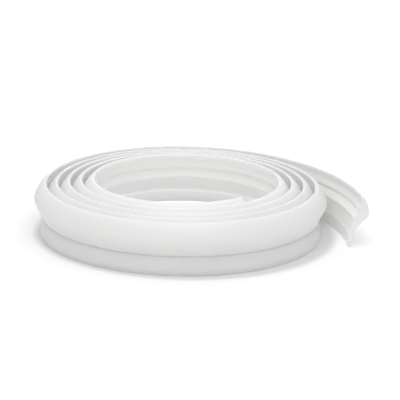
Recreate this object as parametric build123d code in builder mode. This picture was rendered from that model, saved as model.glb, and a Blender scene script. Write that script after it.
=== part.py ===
from build123d import *
import os
from math import atan2, cos, degrees, radians, sin

# Window sill connection profile: one long strip of soft white plastic, wound into a flat
# standing coil. All sizes are in millimetres. The coil stands on the strip's foot, Z is up,
# and the strip's free end points to the front, on the right.

# The strip's section, drawn upright as it stands in the coil. Sideways sizes count from the
# outer edge of the foot: a reach or a bulge is outward, away from the middle of the coil,
# and a set-in is inward. A drop counts down from the section's top.
section_height = 33.3
foot_width = 1.0

# The leg tapers to the foot and ends in a notch under the cap.
notch_set_in = 1.1
notch_height = 12.2

# The cap, a round outer side that leans back to a narrow crest.
cap_reach = 4.2
cap_drop = 10.4
cap_radius = 7.6
cap_start_angle = -4.0
cap_end_angle = 50.0
cap_sides = 3
crest_set_in = 2.4
crest_width = 1.6

# The inner side: a hollow behind the cap, the lip below it, and two ridges along the wall.
hollow_set_in = 2.1
hollow_drop = 5.3
lip_set_in = 2.6
lip_drop = 9.9
ridge_set_in = 4.4
upper_ridge_drop = 15.2
lower_ridge_height = 8.2
wall_set_in = 3.5
wall_height = 13.2

# The coil: half turns of falling radius, struck by turns from two middles on the X axis.
# Each turn clears its neighbour by the gap, and the turns inside the outer one stand a
# little higher with each half turn.
coil_radius = 92.5
turn_gap = 0.4
turn_pitch = cap_reach + lip_set_in + turn_gap
full_half_turns = 9
inner_end_angle = 135.0
level_half_turns = 2
half_turn_rise = 0.5

# The free end leaves the outer turn, runs nearly straight and rolls outward on its foot.
roll_start_angle = 79.0
leave_angle = 48.0
tail_length = 102.0
tail_bend_radius = 126.0
tail_roll = 19.0
tail_spans = 5


def cap_points(middle, radius, start_angle, end_angle, sides):
    # The corners of the cap's round side, cut as a few equal flats.
    angles = [radians(start_angle + (end_angle - start_angle) * i / sides) for i in range(sides + 1)]
    return [(middle[0] + radius * cos(angle), middle[1] + radius * sin(angle)) for angle in angles]


with BuildSketch() as section:
    with BuildLine():
        cap_middle = (cap_reach - cap_radius, section_height - cap_drop)
        cap = cap_points(cap_middle, cap_radius, cap_start_angle, cap_end_angle, cap_sides)
        crest = [(-crest_set_in, section_height), (-crest_set_in - crest_width, section_height)]
        inner_side = [
            (-hollow_set_in, section_height - hollow_drop),
            (-lip_set_in, section_height - lip_drop),
            (-ridge_set_in, section_height - upper_ridge_drop),
            (-wall_set_in, wall_height),
            (-ridge_set_in, lower_ridge_height),
        ]
        notch = (-notch_set_in, notch_height)
        Polyline((0, 0), notch, *cap, *crest, *inner_side, (-foot_width, 0), close=True)
    make_face()


def standing_plane(point, outward, roll=0.0):
    # A plane across the strip: its X points outward and its Y up, rolled outward on the foot.
    outward = Vector(*outward)
    up = Vector(0, 0, 1)
    side = outward * cos(radians(roll)) - up * sin(radians(roll))
    return Plane(origin=point, x_dir=side, z_dir=outward.cross(up))


with BuildPart() as connection_profile:
    # The wound turns, from where the free end begins to the inner end. A half turn that
    # climbs is struck about an axis that tips toward its start, so it ends higher, and the
    # strip leans inward a little more.
    middle, radius, height, lean, start = 0.0, coil_radius, 0.0, 0.0, roll_start_angle
    for half_turn in range(full_half_turns + 1):
        end = 180.0 * (half_turn + 1)
        if half_turn == full_half_turns:
            end = start + inner_end_angle
        rise = half_turn_rise if half_turn >= level_half_turns else 0.0
        tip = degrees(atan2(rise / 2, radius))
        outward = (cos(radians(start)), sin(radians(start)), 0)
        foot_point = (middle + radius * outward[0], radius * outward[1], height)
        with BuildSketch(standing_plane(foot_point, outward, -lean)):
            add(section.sketch)
        tip_way = 1 if outward[0] > 0 else -1
        axis_way = (tip_way * sin(radians(tip)), 0, cos(radians(tip)))
        revolve(axis=Axis((middle, 0, height + rise / 2), axis_way), revolution_arc=end - start)
        # the next half turn starts where this one ends, from the other middle
        middle += turn_pitch / 2 if half_turn % 2 else -turn_pitch / 2
        radius -= turn_pitch / 2
        height += rise
        lean += 2 * tip
        start = end

    # The free end: the rest of the outer turn, then a long gentle bend.
    with BuildLine(mode=Mode.PRIVATE) as tail_path:
        turn_rest = CenterArc((0, 0), coil_radius, roll_start_angle, leave_angle - roll_start_angle)
        bend_angle = degrees(tail_length / tail_bend_radius)
        JernArc(turn_rest @ 1, turn_rest % 1, tail_bend_radius, -bend_angle)
    for station in range(tail_spans + 1):
        way = station / tail_spans
        heading = tail_path.wire() % way
        outward = (-heading.Y, heading.X, 0)
        with BuildSketch(standing_plane(tail_path.wire() @ way, outward, tail_roll * way**2)):
            add(section.sketch)
    loft()

# The origin is the middle of the coil's bounding box, on the surface that it stands on.
extent = connection_profile.part.bounding_box()
connection_profile.part.position = (-extent.center().X, -extent.center().Y, 0)

connection_profile.part.label = "connection_profile"
os.makedirs("parts", exist_ok=True)
export_step(connection_profile.part, "parts/connection_profile.step")
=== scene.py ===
import math

import bmesh
import bpy
from mathutils import Matrix, Vector


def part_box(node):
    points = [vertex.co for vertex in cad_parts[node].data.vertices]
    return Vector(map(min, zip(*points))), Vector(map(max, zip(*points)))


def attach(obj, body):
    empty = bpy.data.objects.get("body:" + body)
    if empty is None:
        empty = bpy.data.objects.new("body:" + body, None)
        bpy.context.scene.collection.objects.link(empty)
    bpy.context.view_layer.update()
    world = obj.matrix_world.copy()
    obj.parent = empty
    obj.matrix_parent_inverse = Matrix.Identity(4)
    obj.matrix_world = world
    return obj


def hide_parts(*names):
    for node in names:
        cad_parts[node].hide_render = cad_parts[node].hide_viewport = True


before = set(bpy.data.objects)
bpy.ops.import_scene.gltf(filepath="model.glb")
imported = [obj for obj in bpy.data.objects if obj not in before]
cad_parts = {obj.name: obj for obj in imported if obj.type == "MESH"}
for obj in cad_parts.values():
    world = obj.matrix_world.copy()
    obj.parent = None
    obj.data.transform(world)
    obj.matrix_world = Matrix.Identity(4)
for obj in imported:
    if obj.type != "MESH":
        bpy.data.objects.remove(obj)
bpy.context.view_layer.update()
nodeLow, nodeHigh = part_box("connection_profile")
mm = 0.001
upward = Vector((0, 0, 1))
white = (1, 1, 1, 1)


class Signal:
    # A shader socket that takes part in Python sums. Each sum adds the Math node that it needs.
    def __init__(self, tree, socket=None):
        self.tree, self.socket = tree, socket

    def node(self, kind, settings=None, inputs=None, output=0):
        # adds any node: its settings first, then the values or links of its sockets
        added = self.tree.nodes.new(kind)
        for name, value in (settings or {}).items():
            setattr(added, name, value)
        for name, value in (inputs or {}).items():
            if isinstance(value, Signal):
                self.tree.links.new(value.socket, added.inputs[name])
            else:
                added.inputs[name].default_value = value
        return Signal(self.tree, added.outputs[output]) if len(added.outputs) else added

    def maths(self, operation, first, second):
        return self.node("ShaderNodeMath", {"operation": operation}, {0: first, 1: second})

    def __add__(self, other):
        return self.maths("ADD", self, other)

    def __mul__(self, other):
        return self.maths("MULTIPLY", self, other)

    __radd__ = __add__


def newMaterial(name):
    material = bpy.data.materials.new(name)
    material.use_nodes = True
    material.node_tree.nodes.clear()
    return material, Signal(material.node_tree)


def makePiece(bm, name):
    # one object at the origin, with its place in its mesh
    mesh = bpy.data.meshes.new(name)
    bm.to_mesh(mesh)
    bm.free()
    piece = bpy.data.objects.new(name, mesh)
    bpy.context.collection.objects.link(piece)
    return piece


# The strip. Sizes are in millimetres and degrees. Across the strip they count outward from the
# outer edge of its foot, and upward from the floor. The coil is struck as in the part's source.
strip = {
    # the outer side, from the foot up
    "height": 33.3, "footWidth": 1.0, "footRound": 0.3,
    "legBulge": (0.15, 7.2), "legRound": 3.0,
    "notch": ((-0.95, 11.6), (-1.6, 12.2), (-0.7, 12.8)), "notchRound": 0.12,
    "flank": (0.4, 15.6), "flankRound": 1.5,
    "capEdge": (4.15, 23.1), "capEdgeRound": 0.8,
    "capMiddle": (-15.58, 17.66), "capRadius": 20.45, "capFrom": 18.5, "capTo": 48, "capSteps": 8,
    "crest": (-2.4, -4.0), "crestRound": 0.78,
    # the inner side, from the crest down
    "hollowMiddle": (-8.7, 28.0), "hollowRadius": 6.3,
    "hollowFrom": 38, "hollowTo": -26, "hollowSteps": 7,
    "lip": (-2.7, 23.7), "lipUnder": (-2.1, 22.9), "lipRound": 0.25,
    "wall": -3.6,
    "ridges": (18.1, 8.2), "ridgeProud": 0.8, "ridgeHalf": 1.4, "ridgeRound": 0.5,
    "legInside": (-2.4, 3.6), "legInsideRound": 2.0,
    "segments": 3, "legSegments": 4,  # of a rounded corner
    # the wound turns; the widest point of the solid's cap gives the place of their middle
    "coilRadius": 92.5, "capReach": 4.1815, "pitch": 7.2, "halfTurns": 9, "innerEnd": 135,
    "levelHalfTurns": 2, "rise": 0.5, "stepAngle": 3,
    # the free end
    "rollStart": 79, "leave": 48, "tailLength": 102, "tailBend": 126, "tailRoll": 19,
    "tailStep": 3.5,
}
outerReach = strip["coilRadius"] + strip["capReach"]
turnsMiddle = Vector((nodeLow[0] / mm + outerReach, nodeHigh[1] / mm - outerReach, 0))


def drawSection(bm, sizes):
    # The section is one flat face in the XZ plane. Its corners are set first and rounded last.
    corners = []

    def corner(point, rounding=0.0, segments=sizes["segments"]):
        vert = bm.verts.new((point[0], 0, point[1]))
        corners.append((vert, rounding, segments))
        return vert

    def roundSide(middle, radius, start, end, steps):
        # a round side, spun out of one corner
        angle = math.radians(start)
        across = middle[0] + radius * math.cos(angle)
        first = corner((across, middle[1] + radius * math.sin(angle)))
        bmesh.ops.spin(bm, geom=[first], cent=(middle[0], 0, middle[1]), axis=(0, -1, 0),
                       angle=math.radians(end - start), steps=steps)
        chain = [first]
        while len(chain) <= steps:
            ends = [edge.other_vert(chain[-1]) for edge in chain[-1].link_edges]
            chain.append(next(vert for vert in ends if vert not in chain))
            corners.append((chain[-1], 0.0, 1))

    corner((0, 0), sizes["footRound"])
    corner(sizes["legBulge"], sizes["legRound"], sizes["legSegments"])
    for point in sizes["notch"]:
        corner(point, sizes["notchRound"])
    corner(sizes["flank"], sizes["flankRound"])
    corner(sizes["capEdge"], sizes["capEdgeRound"])
    roundSide(sizes["capMiddle"], sizes["capRadius"], sizes["capFrom"], sizes["capTo"],
              sizes["capSteps"])
    for reach in sizes["crest"]:
        corner((reach, sizes["height"]), sizes["crestRound"])
    roundSide(sizes["hollowMiddle"], sizes["hollowRadius"], sizes["hollowFrom"],
              sizes["hollowTo"], sizes["hollowSteps"])
    corner(sizes["lip"], sizes["lipRound"])
    corner(sizes["lipUnder"], sizes["lipRound"])
    for height in sizes["ridges"]:
        corner((sizes["wall"], height + sizes["ridgeHalf"]), sizes["ridgeRound"])
        corner((sizes["wall"] - sizes["ridgeProud"], height), sizes["ridgeRound"])
        corner((sizes["wall"], height - sizes["ridgeHalf"]), sizes["ridgeRound"])
    corner(sizes["legInside"], sizes["legInsideRound"], sizes["legSegments"])
    corner((-sizes["footWidth"], 0), sizes["footRound"])

    # the loose edges of the round sides go, and one face is drawn through all the corners
    bmesh.ops.delete(bm, geom=bm.edges[:], context="EDGES_FACES")
    bm.faces.new([vert for vert, rounding, segments in corners])
    for vert, rounding, segments in corners:
        if rounding:
            bmesh.ops.bevel(bm, geom=[vert], offset=rounding, offset_type="OFFSET",
                            segments=segments, profile=0.5, affect="VERTICES", material=-1)


def sweep(bm, face, middle, axis, angle, steps):
    # Spins the strip's end face on round a middle. Its new end face comes back.
    spun = bmesh.ops.spin(bm, geom=[face] + face.edges[:] + face.verts[:], cent=middle, axis=axis,
                          angle=angle, steps=steps)
    return next(item for item in spun["geom_last"] if isinstance(item, bmesh.types.BMFace))


def sweepFreeEnd(bm, face, along, sizes):
    # The rest of the outer turn, then a long bend. The strip rolls outward on its foot.
    angle = math.radians(sizes["rollStart"])
    turnRest = sizes["coilRadius"] * math.radians(sizes["rollStart"] - sizes["leave"])
    whole = turnRest + sizes["tailLength"]
    middle, radius, done, rolled = Vector((0, 0, 0)), sizes["coilRadius"], 0.0, 0.0
    for length, bend in ((turnRest, sizes["coilRadius"]), (sizes["tailLength"], sizes["tailBend"])):
        middle += Vector((math.cos(angle), math.sin(angle), 0)) * (radius - bend)
        radius = bend
        steps = round(length / sizes["tailStep"])
        for step in range(steps):
            turn = -length / steps / bend
            face = sweep(bm, face, middle, upward, turn, 1)
            angle += turn
            done += length / steps
            for vert in face.verts:
                vert[along] = -done
            side = Vector((math.cos(angle), math.sin(angle), 0))
            roll = math.radians(sizes["tailRoll"]) * (done / whole) ** 2
            bmesh.ops.rotate(bm, verts=face.verts[:], cent=middle + side * radius,
                             matrix=Matrix.Rotation(roll - rolled, 3, upward.cross(side)))
            rolled = roll


def sweepTurns(bm, face, along, sizes):
    # Each half turn has the other middle and half a pitch less radius. One that climbs is spun
    # about an axis that tips toward its start.
    middle, radius, run = Vector((0, 0, 0)), sizes["coilRadius"], 0.0
    height, start = 0.0, sizes["rollStart"]
    for halfTurn in range(sizes["halfTurns"] + 1):
        end = 180 * (halfTurn + 1) if halfTurn < sizes["halfTurns"] else start + sizes["innerEnd"]
        rise = sizes["rise"] if halfTurn >= sizes["levelHalfTurns"] else 0.0
        tip = math.atan2(rise / 2, radius) * (-1 if halfTurn % 2 else 1)
        middle.z = height + rise / 2
        before = len(bm.verts)
        face = sweep(bm, face, middle, (math.sin(tip), 0, math.cos(tip)),
                     math.radians(end - start), round((end - start) / sizes["stepAngle"]))
        for vert in bm.verts[:][before:]:
            turned = math.degrees(math.atan2(vert.co.y - middle.y, vert.co.x - middle.x)) - start
            vert[along] = run + radius * math.radians(turned % 360)
        run += radius * math.radians(end - start)
        middle.x += sizes["pitch"] / 2 if halfTurn % 2 else -sizes["pitch"] / 2
        radius -= sizes["pitch"] / 2
        height += rise
        start = end


def makeStrip(sizes):
    bm = bmesh.new()
    drawSection(bm, sizes)
    # how far round the section and how far along the strip each point lies, for the die's lines
    across = bm.verts.layers.float.new("across")
    along = bm.verts.layers.float.new("along")
    startFace = bm.faces[:][0]
    reach = 0.0
    for loop in startFace.loops:
        loop.vert[across] = reach
        reach += loop.edge.calc_length()
    bmesh.ops.translate(bm, verts=bm.verts[:], vec=(sizes["coilRadius"], 0, 0))
    bmesh.ops.rotate(bm, verts=bm.verts[:], cent=(0, 0, 0),
                     matrix=Matrix.Rotation(math.radians(sizes["rollStart"]), 3, "Z"))

    sweepFreeEnd(bm, startFace, along, sizes)
    sweepTurns(bm, startFace, along, sizes)

    bmesh.ops.translate(bm, verts=bm.verts[:], vec=turnsMiddle)
    bmesh.ops.scale(bm, verts=bm.verts[:], vec=(mm, mm, mm))
    bmesh.ops.recalc_face_normals(bm, faces=bm.faces[:])
    for face in bm.faces:
        face.smooth = len(face.verts) == 4  # all but the two cut ends
        face.material_index = 0 if face.smooth else 1
    return makePiece(bm, "profile_strip")


stripPiece = makeStrip(strip)
print("strip made:", len(stripPiece.data.polygons), "faces")


# The plastic, whiter and darker in faint clouds, with marks of the die and of the knife.
plastic = {
    "colour": (0.90, 0.896, 0.888, 1), "shade": (0.86, 0.856, 0.848, 1),
    "cloudScale": 22.0, "cloudShare": 0.6,
    "roughness": 0.38, "markRoughness": 0.1, "markHeight": 0.0004,
    "lineAcross": 2.2, "lineAlong": 0.012, "lineDepth": 0.06,
    "knifeScale": 1400.0, "knifeDepth": 0.25,
    "subsurface": 1.0, "subsurfaceReach": 0.006, "ior": 1.5,
}


def makePlastic(name, settings, cut):
    material, make = newMaterial(name)
    place = make.node("ShaderNodeTexCoord", output="Object")

    def noise(dimensions, point, scale, detail, roughness):
        return make.node("ShaderNodeTexNoise", {"noise_dimensions": dimensions}, {
            "Vector": point, "Scale": scale, "Detail": detail, "Roughness": roughness})

    cloud = noise("3D", place, settings["cloudScale"], 2.0, 0.5)
    if cut:
        # fine marks of the knife across the cut face
        marks = noise("3D", place, settings["knifeScale"], 3.0, 0.6)
        depth = settings["knifeDepth"]
    else:
        # faint lines along the strip, which the die leaves
        across = make.node("ShaderNodeAttribute", {"attribute_name": "across"}, output="Fac")
        along = make.node("ShaderNodeAttribute", {"attribute_name": "along"}, output="Fac")
        lines = make.node("ShaderNodeCombineXYZ", inputs={
            "X": across * settings["lineAcross"], "Y": along * settings["lineAlong"]})
        marks = noise("2D", lines, 1.0, 2.0, 0.6)
        depth = settings["lineDepth"]
    bump = make.node("ShaderNodeBump", inputs={
        "Strength": depth, "Distance": settings["markHeight"], "Height": marks})
    colour = make.node("ShaderNodeMix", {"data_type": "RGBA"}, {
        "Factor": cloud * settings["cloudShare"],
        "A": settings["colour"], "B": settings["shade"]}, output=2)
    surface = make.node("ShaderNodeBsdfPrincipled", inputs={
        "Base Color": colour, "Normal": bump, "IOR": settings["ior"],
        "Roughness": settings["roughness"] + marks * settings["markRoughness"],
        "Subsurface Weight": settings["subsurface"], "Subsurface Radius": (1.0, 1.0, 1.0),
        "Subsurface Scale": settings["subsurfaceReach"],
    })
    make.node("ShaderNodeOutputMaterial", inputs={"Surface": surface})
    return material


stripPiece.data.materials.append(makePlastic("milkWhitePlastic", plastic, False))
stripPiece.data.materials.append(makePlastic("knifeCutPlastic", plastic, True))
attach(stripPiece, "root")
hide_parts("connection_profile")
print("plastic made")


# Floor, sky, lamps and camera. Lengths are in metres and powers in watts.
studio = {
    "floorSize": 8.0, "floorColour": (0.9, 0.9, 0.9, 1), "floorGlow": 0.12,
    # what the camera sees of the floor: a faint shadow, under a glow that has a least strength
    # and changes from one value to another between two distances from the middle of the turns.
    # This glow paints light and shade: a painted shadow in a narrow ring at the coil's foot,
    # painted shade that fades out to 0.2 m, and a painted pool of light on the floor inside the
    # bore
    "floorShadow": (0.58, 0.58, 0.58, 1), "footLift": 0.2,
    # painted light: much more glow on the floor inside the bore, where shade would fall
    "paintedBoreLightLift": (0.07, 0.085, 0.95, 0.0),
    # painted shadow: less glow in a narrow ring just outside the coil's foot
    "paintedFootShadowLift": (0.0928, 0.0985, 0.0, 0.25),
    # painted shade: less glow near the coil, rising out to 0.2 m
    "paintedSurroundShadowLift": (0.105, 0.2, 0.0, 0.45),
    "skyStrength": 0.5,
    "lamps": {
        "frontLamp": {"size": 1.2, "place": (0, -0.8, 1.5), "power": 7.5},
        "middleLamp": {"size": 0.3, "place": (-0.01, 0, 0.28), "power": 0.285},
    },
}


def makeFloor(settings):
    bm = bmesh.new()
    bmesh.ops.create_grid(bm, x_segments=1, y_segments=1, size=settings["floorSize"] / 2)
    floor = makePiece(bm, "floor")
    material, make = newMaterial("paleFloor")

    def glowing(colour, strength):
        # a matte floor that also gives light
        matte = make.node("ShaderNodeBsdfDiffuse", inputs={"Color": colour})
        glow = make.node("ShaderNodeEmission", inputs={"Color": white, "Strength": strength})
        return make.node("ShaderNodeAddShader", inputs={0: matte, 1: glow})

    place = make.node("ShaderNodeTexCoord", output="Object")
    distance = make.node("ShaderNodeVectorMath", {"operation": "DISTANCE"},
                         {0: place, 1: tuple(turnsMiddle * mm)}, output=1)
    glowWithPaintedShade = settings["footLift"]
    # painted light and shade on the floor, by distance from the middle of the turns: less glow at
    # the coil's foot and near the coil, much more inside the bore
    for name in ("paintedBoreLightLift", "paintedFootShadowLift", "paintedSurroundShadowLift"):
        start, end, low, high = settings[name]
        glowWithPaintedShade = make.node("ShaderNodeMapRange", inputs={
            "Value": distance, "From Min": start, "From Max": end,
            "To Min": low, "To Max": high}) + glowWithPaintedShade
    camera = make.node("ShaderNodeLightPath", output="Is Camera Ray")
    surface = make.node("ShaderNodeMixShader", inputs={
        "Fac": camera, 1: glowing(settings["floorColour"], settings["floorGlow"]),
        2: glowing(settings["floorShadow"], glowWithPaintedShade)})
    make.node("ShaderNodeOutputMaterial", inputs={"Surface": surface})
    floor.data.materials.append(material)


def makeSky(settings):
    world = bpy.data.worlds.new("studioSky")
    world.use_nodes = True
    world.node_tree.nodes.clear()
    make = Signal(world.node_tree)
    # the sky is white where it is seen, straight or in a reflection, and dimmer as a light
    camera = make.node("ShaderNodeLightPath", output="Is Camera Ray")
    glossy = make.node("ShaderNodeLightPath", output="Is Glossy Ray")
    through = make.node("ShaderNodeLightPath", output="Is Transmission Ray")
    seen = make.maths("MAXIMUM", make.maths("MAXIMUM", camera, glossy), through)
    sky = make.node("ShaderNodeBackground", inputs={
        "Color": white,
        "Strength": settings["skyStrength"] + seen * (1 - settings["skyStrength"])})
    make.node("ShaderNodeOutputWorld", inputs={"Surface": sky})
    bpy.context.scene.world = world


def makeLamps(settings):
    for name, lampSettings in settings["lamps"].items():
        light = bpy.data.lights.new(name, "AREA")
        light.shape = "SQUARE"
        light.size = lampSettings["size"]
        light.energy = lampSettings["power"]
        lamp = bpy.data.objects.new(name, light)
        lamp.location = lampSettings["place"]
        lamp.rotation_euler = (-lamp.location).to_track_quat("-Z", "Y").to_euler()
        bpy.context.collection.objects.link(lamp)


photoCamera = {
    "place": (8.717, -1847.0, 568.9),  # in millimetres from the middle of the turns on the floor
    "down": 16.478, "roll": 1.197,  # in degrees
    "lens": 273.05, "sensor": 36, "clipStart": 0.01,
}


def makeCamera(settings):
    camera = bpy.data.cameras.new("photoCamera")
    camera.lens = settings["lens"]
    camera.sensor_width = settings["sensor"]
    camera.clip_start = settings["clipStart"]
    holder = bpy.data.objects.new("photoCamera", camera)
    turned = Matrix.Rotation(math.radians(90 - settings["down"]), 4, "X")
    turned = turned @ Matrix.Rotation(math.radians(settings["roll"]), 4, "Z")
    place = (turnsMiddle + Vector(settings["place"])) * mm
    holder.matrix_world = Matrix.Translation(place) @ turned
    bpy.context.collection.objects.link(holder)
    bpy.context.scene.camera = holder


makeFloor(studio)
makeSky(studio)
makeLamps(studio)
makeCamera(photoCamera)
bpy.context.scene.view_settings.view_transform = "Standard"
print("stage set")
